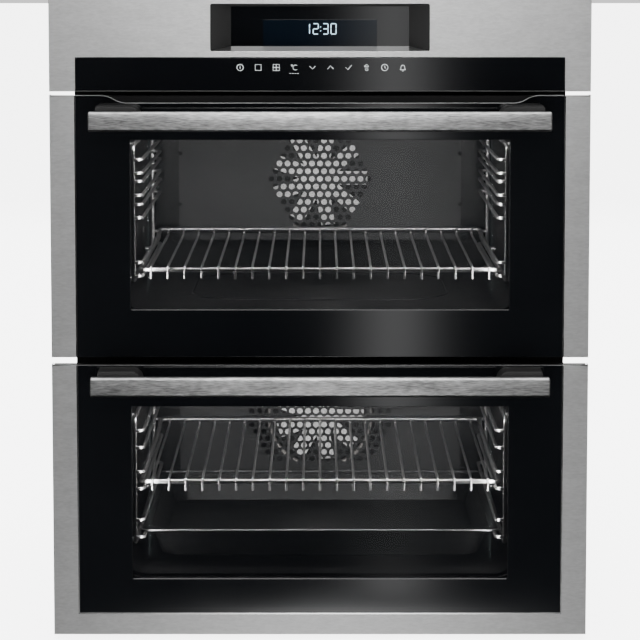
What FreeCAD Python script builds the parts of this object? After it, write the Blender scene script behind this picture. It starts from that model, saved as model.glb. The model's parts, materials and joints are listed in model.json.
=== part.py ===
import FreeCAD, Part
import math
import os
from types import SimpleNamespace

os.makedirs("parts", exist_ok=True)
V = FreeCAD.Vector

# A built-under double wall oven in millimetres. +X is to the viewer's right, +Z is up and the doors
# face -Y. Places are given as x, depth behind the doors' front plane, and height above the base.

# Overall sizes
FRONT_WIDTH = 594.0
DEPTH_BEHIND_FRONT = 567.0
HANDLE_REACH = 43.0

# Heights on the front
FASCIA_HEIGHT = 101.5
FASCIA_GAP = 3.9
UPPER_DOOR_HEIGHT = 290.4
DOOR_GAP = 8.3
LOWER_DOOR_HEIGHT = 304.3
BASE_GAP = 5.6

# Housing
HOUSING_INSET = 24.0
HOUSING_TOP_DROP = 12.0
SHEET = 1.0
BASE_SHEET = 1.5
BASE_FOLD_TOP = 12.0
BASE_RIB_DEPTHS = (200.0, 340.0)
FRONT_FRAME_SHEET = 2.0
GLAND_LENGTH = 6.0
EAR_WIDTH = 19.0
EAR_HEIGHT = 36.0
EAR_HOLE_RADIUS = 2.6
EAR_HOLE_IN = 9.0
LOWER_EAR_UP = 60.0
UPPER_EAR_DOWN = 48.0

# Cavities
CAVITY_SIDE_SPACE = 56.0
CAVITY_WALL = 1.2
CAVITY_CORNER = 18.0
CAVITY_FLANGE = 12.0
MOTOR_SPACE = 110.0
UPPER_FLOOR_UP = 46.8
LOWER_FLOOR_UP = 59.4
UPPER_CEILING_DOWN = 28.6
LOWER_CEILING_DOWN = 38.0
INSULATION = 22.0
INSULATION_GAP = 0.3

# Doors and hinges
HINGE_BEHIND_FRONT = 16.0
HINGE_UP = 24.0
SWING_CLEARANCE = 2.0
SEAL_SPACE = 4.0
SEAL_WIDTH = 7.0
SEAL_OUT = 4.0
SEAL_CLEARANCE = 0.3
GLASS_SETBACK = 0.6
GLASS = 4.0
TRIM_WIDTH = 28.6
TRIM_SHEET = 1.5
TRIM_CLEARANCE = 0.4
BOTTOM_STRIP = 24.4
DOOR_FRAME_BACK = 20.0
MIDDLE_GLASS_CLEARANCE = 0.2
MIDDLE_GLASS_EDGE_CLEARANCE = 0.4
WINDOW_INSET = 8.0
GLASS_DIP = 8.3
DIP_RUN = 29.3
DIP_END_IN = 27.3
PIN_RADIUS = 3.0
PIN_CLEARANCE = 0.05
HINGE_FROM_CAVITY = 33.0
ARM_THICKNESS = 6.0
ARM_HALF_HEIGHT = 8.0
ARM_SIDE_CLEARANCE = 1.5
CHEEK_THICKNESS = 5.0

# Handles
HANDLE_END_IN = 45.7
HANDLE_HEIGHT = 21.4
HANDLE_THICKNESS = 10.0
HANDLE_BEVEL = 2.2
UPPER_HANDLE_DOWN = 16.2
LOWER_HANDLE_DOWN = 8.0
BRACKET_LENGTH = 53.0
BRACKET_RISE = 5.5

# Fascia
DISPLAY_HALF = 120.0
DISPLAY_BOTTOM_UP = 44.1
DISPLAY_HEIGHT = 51.8
DISPLAY_SLOPE_SIDE = 22.0
DISPLAY_SLOPE_TOP = 3.2
DISPLAY_SLOPE_BOTTOM = 4.8
DISPLAY_RECESS = 20.0
DISPLAY_LAP = 2.5
DISPLAY_GLASS = 2.0
TOUCH_STRIP_HEIGHT = 37.5
FASCIA_SHEET = 1.2

# Racks, shelves and tray
RACK_ROD_RADIUS = 2.0
RACK_POST_RADIUS = 2.3
RACK_POST_IN = 8.0
RUNG_IN = 18.0
RACK_FRONT = 49.0
RACK_REAR_SPACE = 59.0
RACK_DOWN = 30.5
SHELF_ROD_RADIUS = 2.75
SHELF_WIRE_RADIUS = 1.4
SHELF_WIRE_PITCH = 19.05
SHELF_SIDE_IN = 14.0
SHELF_REST = 0.3
SHELF_RISE = 10.0
SHELF_HOOK = 10.0
SHELF_FRONT = 66.0
SHELF_REAR_GAP = 6.0
TRAY_SHEET = 1.2
TRAY_DEPTH = 33.0
TRAY_RIM = 11.0
TRAY_SLOPE = 12.0
TRAY_CORNER = 24.0

# Fans and elements
COVER_IN = 39.5
COVER_MARGIN = 30.5
COVER_DEPTH = 28.0
HOLE_PITCH = 10.2
HOLE_RADIUS = 3.6
HOLE_MARGIN = 9.0
WHEEL_IN = 10.0
WHEEL_BEFORE_BACK = 12.0
WHEEL_SHEET = 1.2
WHEEL_DISC_RADIUS = 24.0
HUB_RADIUS = 9.0
BLADES = 9
BLADE_WIDTH = 19.0
BLADE_TWIST = 25.0
SHAFT_RADIUS = 4.0
SHAFT_CLEARANCE = 0.05
ELEMENT_RADIUS = 3.2
ELEMENT_LEG_RADIUS = 2.9
ELEMENT_CLEARANCE = 0.3
RING_IN = 7.0
GRILL_DROP = 14.0
LAMP_RADIUS = 21.5
LAMP_FLANGE = 4.5

# Cooling blower on the deck
BLOWER_HALF = 90.0
BLOWER_HEIGHT = 62.0
BLOWER_ROTOR_RADIUS = 26.0
BLOWER_BLADES = 20
DECK_ABOVE_INSULATION = 3.8
BLOWER_BEFORE_BACK = 30.0
BLOWER_AXIS_UP = 31.0
BLOWER_HALF_DEPTH = 38.0
DUCT_HEIGHT = 24.0
POCKET_ABOVE_AXIS = 60.0
LINER_UP = 12.0
LINER_DOWN = 8.0
LINER_OUT = 23.0
REBATE_OUT = 7.0
REBATE_UP = 4.0
REBATE_DOWN = 8.0
RING_LEG_X = 15.0
GRILL_X = 160.0
LAMP_BEFORE_COVER = 32.0
GLAND_X = 200.0
GLAND_RADIUS = 12.0
GLAND_BORE = 6.0
GLAND_BELOW_TOP = 42.0
TERMINAL_DEPTH = 22.0

# Places worked out from the sizes above
LOWER_DOOR_TOP = BASE_GAP + LOWER_DOOR_HEIGHT
UPPER_DOOR_BOTTOM = LOWER_DOOR_TOP + DOOR_GAP
UPPER_DOOR_TOP = UPPER_DOOR_BOTTOM + UPPER_DOOR_HEIGHT
FASCIA_BOTTOM = UPPER_DOOR_TOP + FASCIA_GAP
TOTAL_HEIGHT = FASCIA_BOTTOM + FASCIA_HEIGHT
FRONT_Y = (HANDLE_REACH - DEPTH_BEHIND_FRONT) / 2
FRONT_HALF = FRONT_WIDTH / 2
HOUSING_HALF = FRONT_HALF - HOUSING_INSET
HOUSING_TOP = TOTAL_HEIGHT - HOUSING_TOP_DROP
CAVITY_HALF = HOUSING_HALF - CAVITY_SIDE_SPACE
HOUSING_FRONT = HINGE_BEHIND_FRONT + HINGE_UP + SWING_CLEARANCE
FRAME_BACK = HOUSING_FRONT + FRONT_FRAME_SHEET
REAR_PANEL = DEPTH_BEHIND_FRONT - GLAND_LENGTH - SHEET
CAVITY_BACK = REAR_PANEL - MOTOR_SPACE
DOOR_BACK = HOUSING_FRONT - SEAL_SPACE
COVER_FRONT = CAVITY_BACK - COVER_DEPTH
DECK_Z = (UPPER_DOOR_TOP - UPPER_CEILING_DOWN + CAVITY_WALL + INSULATION_GAP + INSULATION
          + DECK_ABOVE_INSULATION)
HINGE_X = CAVITY_HALF + HINGE_FROM_CAVITY
GLASS_HALF = FRONT_HALF - TRIM_WIDTH - TRIM_CLEARANCE
HANDLE_HALF = FRONT_HALF - HANDLE_END_IN
EAR_HOLE_X = HOUSING_HALF + EAR_WIDTH - EAR_HOLE_IN
LOWER_EAR_Z = BASE_GAP + LOWER_EAR_UP
UPPER_EAR_Z = UPPER_DOOR_TOP - UPPER_EAR_DOWN
SHELF_REAR = COVER_FRONT - SHELF_REAR_GAP
LAMP_DEPTH = COVER_FRONT - LAMP_BEFORE_COVER
GLAND_Z = HOUSING_TOP - GLAND_BELOW_TOP
FRAME_FRONT = GLASS_SETBACK + GLASS
WINDOW_HALF = CAVITY_HALF - WINDOW_INSET
BLOWER_DEPTH = CAVITY_BACK - BLOWER_BEFORE_BACK
BLOWER_Z = DECK_Z + SHEET + BLOWER_AXIS_UP


def oven(name, bottom, top, floor, ceiling, fan_above_middle, rack_up, rung_shares, rung_gap,
         handle_down, hole_middle, row_pitch, dip):
    """The places of one oven. Its fan, rack and rungs follow the height of its cavity."""
    cover_half = (ceiling - floor) / 2 - COVER_MARGIN
    rack_height = ceiling - floor - rack_up - RACK_DOWN
    return SimpleNamespace(
        name=name, bottom=bottom, top=top, floor=floor, ceiling=ceiling,
        fan_z=(floor + ceiling) / 2 + fan_above_middle,
        cover_half=cover_half,
        ring_radius=cover_half - RING_IN,
        wheel_radius=cover_half - RING_IN - WHEEL_IN,
        rack_z=floor + rack_up,
        rack_height=rack_height,
        rungs=[floor + rack_up + share * rack_height for share in rung_shares],
        rung_gap=rung_gap,
        handle_top=top - handle_down,
        middle_row=min(6, int((cover_half - HOLE_MARGIN) / row_pitch)),
        hole_middle=hole_middle,
        row_pitch=row_pitch,
        dip=dip,
    )


UPPER = oven("upper", UPPER_DOOR_BOTTOM, UPPER_DOOR_TOP, UPPER_DOOR_BOTTOM + UPPER_FLOOR_UP,
             UPPER_DOOR_TOP - UPPER_CEILING_DOWN, 8.5, 33.0, (0.033, 0.465, 0.634, 0.796), 15.3,
             UPPER_HANDLE_DOWN, 13, 9.7, True)
LOWER = oven("lower", BASE_GAP, LOWER_DOOR_TOP, BASE_GAP + LOWER_FLOOR_UP,
             LOWER_DOOR_TOP - LOWER_CEILING_DOWN, 8.0, 34.0, (0.046, 0.435, 0.765), 19.5,
             LOWER_HANDLE_DOWN, 19, 8.8, False)


def at(x, depth, z):
    """A point from its sideways place, its depth behind the door front and its height."""
    return V(x, FRONT_Y + depth, z)


def block(x0, x1, d0, d1, z0, z1):
    return Part.makeBox(x1 - x0, d1 - d0, z1 - z0, at(x0, d0, z0))


def wide_block(half, d0, d1, z0, z1):
    return block(-half, half, d0, d1, z0, z1)


def post(x, z, radius, d0, d1):
    """A cylinder that lies front to back."""
    return Part.makeCylinder(radius, d1 - d0, at(x, d0, z), V(0, 1, 0))


def axle(depth, z, radius, x0, x1):
    """A cylinder that lies side to side."""
    return Part.makeCylinder(radius, x1 - x0, at(x0, depth, z), V(1, 0, 0))


def fuse(shapes):
    return shapes[0].multiFuse(shapes[1:]).removeSplitter() if len(shapes) > 1 else shapes[0]


def cut(shape, tools):
    return shape.cut(Part.makeCompound(tools))


def mirrored(shape):
    return shape.mirror(V(0, 0, 0), V(1, 0, 0))


def both_sides(shape):
    return [shape, mirrored(shape)]


def save(name, *solids):
    """Write one node: its solids stay separate."""
    shape = solids[0] if len(solids) == 1 else Part.makeCompound(list(solids))
    shape.exportStep("parts/" + name + ".step")


def rounded_wire(half, z0, z1, depth, corner):
    """A rectangle with round corners, standing upright at one depth."""
    r = corner
    k = r * (1 - math.sqrt(0.5))
    corners = [(half, z0, 1, -1), (half, z1, 1, 1), (-half, z1, -1, 1), (-half, z0, -1, -1)]
    arcs = []
    for index, (x, z, sx, sz) in enumerate(corners):
        ends = [at(x - sx * r, depth, z), at(x, depth, z - sz * r)]
        if index % 2:
            ends.reverse()
        arcs.append((ends[0], at(x - sx * k, depth, z - sz * k), ends[1]))
    edges = []
    for index, (start, middle, end) in enumerate(arcs):
        edges.append(Part.Arc(start, middle, end).toShape())
        edges.append(Part.makeLine(end, arcs[(index + 1) % 4][0]))
    return Part.Wire(edges)


def rounded_block(half, d0, d1, z0, z1, corner):
    face = Part.Face(rounded_wire(half, z0, z1, d0, corner))
    return face.extrude(V(0, d1 - d0, 0))


def bent_rod(points, radius, bend):
    """A round rod along straight runs that are joined by tangent bends."""
    places = [at(*point) for point in points]
    start = places[0]
    edges = []
    for before, corner, after in zip(places, places[1:], places[2:]):
        back = (before - corner).normalize()
        on = (after - corner).normalize()
        half_turn = (math.pi - back.getAngle(on)) / 2
        reach = bend * math.tan(half_turn)
        enter = corner + back * reach
        leave = corner + on * reach
        inward = (back + on).normalize()
        middle = corner + inward * (bend / math.cos(half_turn) - bend)
        edges.append(Part.makeLine(start, enter))
        edges.append(Part.Arc(enter, middle, leave).toShape())
        start = leave
    edges.append(Part.makeLine(start, places[-1]))
    ring = Part.makeCircle(radius, places[0], places[1] - places[0])
    return Part.Wire(edges).makePipeShell([Part.Wire([ring])], True, False)


# Housing

def base_plate():
    plate = wide_block(HOUSING_HALF, FRAME_BACK, REAR_PANEL + SHEET, 0, BASE_SHEET)
    fold_half = HOUSING_HALF - SHEET
    front = wide_block(fold_half, FRAME_BACK, FRAME_BACK + BASE_SHEET, BASE_SHEET, BASE_FOLD_TOP)
    ribs = [wide_block(fold_half, d, d + BASE_SHEET, BASE_SHEET, BASE_FOLD_TOP) for d in BASE_RIB_DEPTHS]
    slots = []
    for column in range(-5, 6):
        for row in (110, 260, 410):
            slots.append(block(column * 40 - 12, column * 40 + 12, row, row + 6, -1, BASE_SHEET + 1))
    return cut(fuse([plate, front] + ribs), slots)


def side_panel():
    panel = block(HOUSING_HALF - SHEET, HOUSING_HALF, FRAME_BACK, REAR_PANEL + SHEET,
                  BASE_SHEET, HOUSING_TOP - SHEET)
    slots = []
    for column in range(8):
        depth = REAR_PANEL - 60 - column * 22
        for z in (70, HOUSING_TOP - 80):
            slots.append(block(HOUSING_HALF - 3, HOUSING_HALF + 1, depth, depth + 6, z, z + 34))
    return cut(panel, slots)


def rear_panel():
    panel = wide_block(HOUSING_HALF - SHEET, REAR_PANEL, REAR_PANEL + SHEET,
                       BASE_SHEET, HOUSING_TOP - SHEET)
    slots = []
    for column in range(-4, 5):
        for oven in (UPPER, LOWER):
            for row in (-30, 0, 30):
                z = oven.fan_z + row
                slots.append(block(column * 34 - 11, column * 34 + 11, REAR_PANEL - 1,
                                   REAR_PANEL + SHEET + 1, z, z + 5))
    gland_hole = post(GLAND_X, GLAND_Z, GLAND_RADIUS, REAR_PANEL - 1, REAR_PANEL + SHEET + 1)
    return cut(panel, slots + [gland_hole])


def top_panel():
    panel = wide_block(HOUSING_HALF, FRAME_BACK, REAR_PANEL + SHEET, HOUSING_TOP - SHEET, HOUSING_TOP)
    slots = []
    for column in range(-5, 6):
        for depth in (REAR_PANEL - 90, REAR_PANEL - 60):
            slots.append(block(column * 40 - 14, column * 40 + 14, depth, depth + 6,
                               HOUSING_TOP - 3, HOUSING_TOP + 1))
    return cut(panel, slots)


def front_frame():
    plate = wide_block(HOUSING_HALF, HOUSING_FRONT, FRAME_BACK, 0, HOUSING_TOP)
    ear_half = HOUSING_HALF + EAR_WIDTH
    ears = [wide_block(ear_half, HOUSING_FRONT, FRAME_BACK, z - EAR_HEIGHT / 2, z + EAR_HEIGHT / 2)
            for z in (LOWER_EAR_Z, UPPER_EAR_Z)]
    holes = []
    for z in (LOWER_EAR_Z, UPPER_EAR_Z):
        for x in (-EAR_HOLE_X, EAR_HOLE_X):
            holes.append(post(x, z, EAR_HOLE_RADIUS, HOUSING_FRONT - 1, FRAME_BACK + 1))
    for oven in (UPPER, LOWER):
        holes.append(rounded_block(CAVITY_HALF, HOUSING_FRONT - 1, FRAME_BACK + 1,
                                   oven.floor, oven.ceiling, CAVITY_CORNER))
        axis_z = oven.bottom + HINGE_UP
        slot = ARM_THICKNESS / 2 + ARM_SIDE_CLEARANCE
        for x in (-HINGE_X, HINGE_X):
            holes.append(block(x - slot, x + slot, HOUSING_FRONT - 1, FRAME_BACK + 1,
                               axis_z - ARM_HALF_HEIGHT - 1, axis_z + ARM_HALF_HEIGHT + 1))
    wiring = wide_block(DISPLAY_HALF + 60, HOUSING_FRONT - 1, FRAME_BACK + 1, DECK_Z + 12, HOUSING_TOP - 18)
    return cut(fuse([plate] + ears), holes + [wiring])


def middle_crosspiece():
    z0 = LOWER.top - 4.5
    z1 = UPPER.bottom - 0.2
    bar = wide_block(HOUSING_HALF - 3, DOOR_BACK + 0.5, HOUSING_FRONT, z0, z1)
    slots = [block(column * 30 - 9, column * 30 + 9, DOOR_BACK, HOUSING_FRONT + 1, z0 + 5.5, z1 - 3)
             for column in range(-7, 8)]
    return cut(bar, slots)


def upper_deck():
    deck = wide_block(HOUSING_HALF - SHEET, FRAME_BACK, REAR_PANEL, DECK_Z, DECK_Z + SHEET)
    slots = [block(x - 10, x + 10, REAR_PANEL - 50, REAR_PANEL - 44, DECK_Z - 1, DECK_Z + SHEET + 1)
             for x in range(-200, 201, 50)]
    return cut(deck, slots)


def insulation(oven):
    """An open-fronted sleeve round one cavity, with a hole over the lamp."""
    gap = CAVITY_WALL + INSULATION_GAP
    thick = gap + INSULATION
    outer = rounded_block(CAVITY_HALF + thick, FRAME_BACK + 4, CAVITY_BACK, oven.floor - thick,
                          oven.ceiling + thick, CAVITY_CORNER + thick)
    inner = rounded_block(CAVITY_HALF + gap, FRAME_BACK, CAVITY_BACK + 1, oven.floor - gap,
                          oven.ceiling + gap, CAVITY_CORNER + gap)
    lamp = Part.makeCylinder(LAMP_RADIUS + 4, thick + 10, at(0, LAMP_DEPTH, oven.ceiling - 5))
    return cut(outer, [inner, lamp])


# Inside each cavity

def cavity(oven):
    wall = CAVITY_WALL
    outer = rounded_block(CAVITY_HALF + wall, FRAME_BACK, CAVITY_BACK + wall, oven.floor - wall,
                          oven.ceiling + wall, CAVITY_CORNER + wall)
    flange = rounded_block(CAVITY_HALF + CAVITY_FLANGE, FRAME_BACK, FRAME_BACK + wall,
                           oven.floor - CAVITY_FLANGE, oven.ceiling + CAVITY_FLANGE,
                           CAVITY_CORNER + CAVITY_FLANGE)
    inner = rounded_block(CAVITY_HALF, FRAME_BACK - 1, CAVITY_BACK, oven.floor, oven.ceiling,
                          CAVITY_CORNER)
    fan_z = oven.fan_z
    behind = CAVITY_BACK + wall + 1
    holes = [post(0, fan_z, SHAFT_RADIUS + 3, CAVITY_BACK - 1, behind)]
    legs = [(x, fan_z + ring_leg_height(oven)) for x in (-RING_LEG_X, RING_LEG_X)]
    if oven is UPPER:
        legs += [(x, oven.ceiling - GRILL_DROP) for x in (-GRILL_X, GRILL_X)]
    for x, z in legs:
        holes.append(post(x, z, ELEMENT_RADIUS + ELEMENT_CLEARANCE, CAVITY_BACK - 1, behind))
    holes.append(Part.makeCylinder(LAMP_RADIUS + 0.5, 10, at(0, LAMP_DEPTH, oven.ceiling - 5)))
    return cut(fuse([outer, flange]), [inner] + holes)


def fan_cover(oven):
    """A shallow box over the fan, open at the back, with a hexagon of holes in its face."""
    fan_z = oven.fan_z
    half = CAVITY_HALF - COVER_IN
    wall = CAVITY_WALL
    z0 = fan_z - oven.cover_half
    z1 = fan_z + oven.cover_half
    shell = cut(rounded_block(half, COVER_FRONT, CAVITY_BACK, z0, z1, 6),
                [rounded_block(half - wall, COVER_FRONT + wall, CAVITY_BACK + 1, z0 + wall, z1 - wall,
                               6 - wall)])
    holes = []
    for row in range(-oven.middle_row, oven.middle_row + 1):
        count = oven.hole_middle - abs(row)
        for column in range(count):
            x = (column - (count - 1) / 2) * HOLE_PITCH
            holes.append(post(x, fan_z + row * oven.row_pitch, HOLE_RADIUS, COVER_FRONT - 1,
                              COVER_FRONT + wall + 1))
    return cut(shell, holes)


def fan_wheel(oven):
    """A stamped wheel: a disc, broad blades that are twisted on their length, a hub and the shaft."""
    fan_z = oven.fan_z
    middle = CAVITY_BACK - WHEEL_BEFORE_BACK
    front = middle - WHEEL_SHEET / 2
    back = middle + WHEEL_SHEET / 2
    pieces = [post(0, fan_z, WHEEL_DISC_RADIUS, front, back),
              post(0, fan_z, HUB_RADIUS, middle - 6, middle + 6),
              post(0, fan_z, SHAFT_RADIUS, middle - 9, CAVITY_BACK + 40)]
    for index in range(BLADES):
        blade = block(HUB_RADIUS, oven.wheel_radius, front, back, fan_z - BLADE_WIDTH / 2,
                      fan_z + BLADE_WIDTH / 2)
        blade.rotate(at(0, middle, fan_z), V(1, 0, 0), BLADE_TWIST)
        blade.rotate(at(0, middle, fan_z), V(0, 1, 0), index * 360 / BLADES)
        pieces.append(blade)
    return fuse(pieces)


def fan_motor(oven):
    fan_z = oven.fan_z
    start = CAVITY_BACK + CAVITY_WALL
    plate = wide_block(46, start, start + 2, fan_z - 30, fan_z + 30)
    stator = wide_block(30, start + 2, start + 32, fan_z - 27, fan_z + 27)
    coil = rounded_block(18, start + 32, start + 50, fan_z - 22, fan_z + 22, 5)
    bore = post(0, fan_z, SHAFT_RADIUS + SHAFT_CLEARANCE, start - 1, CAVITY_BACK + 42)
    return cut(fuse([plate, stator, coil]), [bore])


def ring_leg_height(oven):
    return math.sqrt(oven.ring_radius ** 2 - RING_LEG_X ** 2)


def ring_element(oven):
    """A heating ring round the fan wheel, with two legs through the back wall."""
    fan_z = oven.fan_z
    depth = CAVITY_BACK - 13
    ring = Part.makeTorus(oven.ring_radius, ELEMENT_RADIUS, at(0, depth, fan_z), V(0, 1, 0))
    legs = [post(x, fan_z + ring_leg_height(oven), ELEMENT_LEG_RADIUS, depth, CAVITY_BACK + 8)
            for x in (-RING_LEG_X, RING_LEG_X)]
    feet = wide_block(RING_LEG_X + 8, CAVITY_BACK + CAVITY_WALL, CAVITY_BACK + CAVITY_WALL + 2,
                      fan_z + ring_leg_height(oven) - 6, fan_z + ring_leg_height(oven) + 6)
    return fuse([ring, feet] + legs)


def grill_element():
    """A bent heating rod under the upper ceiling, with both ends through the back wall."""
    z = UPPER.ceiling - GRILL_DROP
    back = CAVITY_BACK + 12
    front = FRAME_BACK + 55
    inner_x = GRILL_X - 65
    turn = LAMP_DEPTH - 60
    half = [(GRILL_X, back, z), (GRILL_X, front, z), (inner_x, front, z), (inner_x, turn, z), (0, turn, z)]
    feet = [block(x - 8, x + 8, CAVITY_BACK + CAVITY_WALL, CAVITY_BACK + CAVITY_WALL + 2, z - 8, z + 8)
            for x in (-GRILL_X, GRILL_X)]
    return fuse(both_sides(bent_rod(half, ELEMENT_RADIUS, 12)) + feet)


def lamp(oven):
    """The lamp's glass, with its flange up against the ceiling."""
    dome = Part.makeCylinder(LAMP_RADIUS, 24, at(0, LAMP_DEPTH, oven.ceiling - 10))
    flange = Part.makeCylinder(LAMP_RADIUS + LAMP_FLANGE, 2, at(0, LAMP_DEPTH, oven.ceiling - 2))
    bulb_space = Part.makeCylinder(LAMP_RADIUS - 3, 22, at(0, LAMP_DEPTH, oven.ceiling - 7))
    return cut(fuse([dome, flange]), [bulb_space])


def side_rack(oven):
    """The right-hand ladder: two posts, top and bottom bars, rung pairs and wall studs."""
    post_x = CAVITY_HALF - RACK_POST_IN
    rung_x = CAVITY_HALF - RUNG_IN
    rear = CAVITY_BACK - RACK_REAR_SPACE
    z0 = oven.rack_z
    z1 = z0 + oven.rack_height
    frame = [(post_x, rear, z0), (post_x, RACK_FRONT, z0), (post_x, RACK_FRONT, z1), (post_x, rear, z1)]
    rear_post = Part.makeCylinder(RACK_POST_RADIUS + 0.2, oven.rack_height + 8, at(post_x, rear, z0 - 4))
    pieces = [bent_rod(frame, RACK_POST_RADIUS, 7), rear_post]
    for level in oven.rungs:
        for z in (level, level + oven.rung_gap):
            rung = [(post_x, RACK_FRONT, z), (rung_x, RACK_FRONT, z), (rung_x, rear, z), (post_x, rear, z)]
            pieces.append(bent_rod(rung, RACK_ROD_RADIUS, 5))
    for depth in (RACK_FRONT + 20, rear - 20):
        for z in (z0, z1):
            pieces.append(axle(depth, z, 3, post_x, CAVITY_HALF))
    return fuse(pieces)


def wire_shelf(level):
    """A bent frame rod, lifted at the back, with straight wires that hook over the front rail."""
    z = level + RACK_ROD_RADIUS + SHELF_REST + SHELF_ROD_RADIUS
    side = CAVITY_HALF - SHELF_SIDE_IN
    r = SHELF_ROD_RADIUS
    half = [(0, SHELF_REAR, z + SHELF_RISE), (side, SHELF_REAR, z + SHELF_RISE), (side, SHELF_REAR, z),
            (side, SHELF_FRONT, z), (0, SHELF_FRONT, z)]
    pieces = both_sides(bent_rod(half, r, 5.5))
    lift = r + SHELF_WIRE_RADIUS - 0.5
    front = SHELF_FRONT - lift
    count = int((side - 8) / SHELF_WIRE_PITCH)
    for index in range(-count, count + 1):
        x = index * SHELF_WIRE_PITCH
        line = [(x, front, z - SHELF_HOOK), (x, front, z + lift), (x, SHELF_REAR - lift, z + lift),
                (x, SHELF_REAR - lift, z + SHELF_RISE + 1)]
        pieces.append(bent_rod(line, SHELF_WIRE_RADIUS, 2.5))
    return fuse(pieces)


def flat_wire(half, d0, d1, z, corner):
    """A rectangle with round corners lying flat at one height."""
    wire = rounded_wire(half, -d1, -d0, 0, corner)
    wire.translate(V(0, -FRONT_Y, 0))
    wire.rotate(V(0, 0, 0), V(1, 0, 0), 90)
    wire.translate(V(0, FRONT_Y, z))
    return wire


def flat_block(half, d0, d1, z0, z1, corner):
    return Part.Face(flat_wire(half, d0, d1, z0, corner)).extrude(V(0, 0, z1 - z0))


def flat_loft(half, d0, d1, top, depth, inset):
    """A pan-shaped block that narrows towards its bottom."""
    wide = flat_wire(half - inset, d0 + inset, d1 - inset, top, TRAY_CORNER - inset)
    low = inset + TRAY_SLOPE
    narrow = flat_wire(half - low, d0 + low, d1 - low, top - depth, TRAY_CORNER - inset)
    return Part.makeLoft([wide, narrow], True, True)


def baking_tray():
    """A pan with sloping walls, round corners and a flat rim that rests on the lowest rungs."""
    rim_z = LOWER.rungs[0] + RACK_ROD_RADIUS + SHELF_REST
    side = CAVITY_HALF - SHELF_SIDE_IN + SHELF_ROD_RADIUS
    rim = flat_block(side, SHELF_FRONT, SHELF_REAR, rim_z, rim_z + TRAY_SHEET, 14)
    outer = flat_loft(side - TRAY_RIM, SHELF_FRONT + TRAY_RIM, SHELF_REAR - TRAY_RIM,
                      rim_z + TRAY_SHEET, TRAY_DEPTH, 0)
    inner = flat_loft(side - TRAY_RIM, SHELF_FRONT + TRAY_RIM, SHELF_REAR - TRAY_RIM,
                      rim_z + TRAY_SHEET, TRAY_DEPTH - TRAY_SHEET, TRAY_SHEET)
    return cut(fuse([rim, outer]), [inner])


# Hinges and doors

def door_seal(oven):
    """A flat rope ring on the front frame, round the cavity mouth."""
    inner = SEAL_OUT
    outer = inner + SEAL_WIDTH
    front = DOOR_BACK + SEAL_CLEARANCE
    ring = rounded_block(CAVITY_HALF + outer, front, HOUSING_FRONT, oven.floor - outer,
                         oven.ceiling + outer, CAVITY_CORNER + outer)
    return cut(ring, [rounded_block(CAVITY_HALF + inner, front - 1, HOUSING_FRONT + 1,
                                    oven.floor - inner, oven.ceiling + inner, CAVITY_CORNER + inner)])


def hinge_arm(oven):
    """The right-hand arm: a blade through the front frame, its rear foot and the pivot pin."""
    axis_z = oven.bottom + HINGE_UP
    half = ARM_THICKNESS / 2
    blade = block(HINGE_X - half, HINGE_X + half, HINGE_BEHIND_FRONT, FRAME_BACK + 60,
                  axis_z - ARM_HALF_HEIGHT, axis_z + ARM_HALF_HEIGHT)
    eye = axle(HINGE_BEHIND_FRONT, axis_z, ARM_HALF_HEIGHT, HINGE_X - half, HINGE_X + half)
    foot = block(HINGE_X - half - 5, HINGE_X + half + 5, FRAME_BACK, FRAME_BACK + 3,
                 axis_z - ARM_HALF_HEIGHT - 8, axis_z + ARM_HALF_HEIGHT + 8)
    reach = half + ARM_SIDE_CLEARANCE + CHEEK_THICKNESS
    pin = axle(HINGE_BEHIND_FRONT, axis_z, PIN_RADIUS, HINGE_X - reach, HINGE_X + reach)
    return fuse([blade, eye, foot, pin])


def hinge_body(oven):
    """The right-hand door half of a hinge: two cheeks round the arm, joined above it by a web."""
    axis_z = oven.bottom + HINGE_UP
    inside = ARM_THICKNESS / 2 + ARM_SIDE_CLEARANCE
    outside = inside + CHEEK_THICKNESS
    back = DOOR_FRAME_BACK
    low = axis_z - 10
    high = axis_z + POCKET_ABOVE_AXIS - 2
    cheeks = [block(HINGE_X - outside, HINGE_X - inside, FRAME_FRONT, back, low, high),
              block(HINGE_X + inside, HINGE_X + outside, FRAME_FRONT, back, low, high)]
    web = block(HINGE_X - inside, HINGE_X + inside, FRAME_FRONT, back, axis_z + 14, high)
    bore = axle(HINGE_BEHIND_FRONT, axis_z, PIN_RADIUS + PIN_CLEARANCE, HINGE_X - outside - 1,
                HINGE_X + outside + 1)
    return cut(fuse(cheeks + [web]), [bore])


def door_frame(oven):
    """The door's load-carrying frame, with a pocket for each hinge body."""
    frame = wide_block(FRONT_HALF - TRIM_SHEET, FRAME_FRONT, DOOR_FRAME_BACK, oven.bottom + 2, oven.top - 1)
    window = rounded_block(WINDOW_HALF + 5, FRAME_FRONT - 1, DOOR_FRAME_BACK + 1,
                           oven.floor - 7, oven.ceiling - 9, 8)
    lift = oven.bottom + HINGE_UP + POCKET_ABOVE_AXIS
    pocket = ARM_THICKNESS / 2 + ARM_SIDE_CLEARANCE + CHEEK_THICKNESS
    pockets = [block(x - pocket, x + pocket, FRAME_FRONT - 1, DOOR_FRAME_BACK + 1, oven.bottom, lift)
               for x in (-HINGE_X, HINGE_X)]
    vents = [block(column * 40 - 14, column * 40 + 14, FRAME_FRONT + 4, DOOR_FRAME_BACK - 4,
                   oven.top - 12, oven.top) for column in range(-5, 6)]
    return cut(frame, [window] + pockets + vents)


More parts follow.
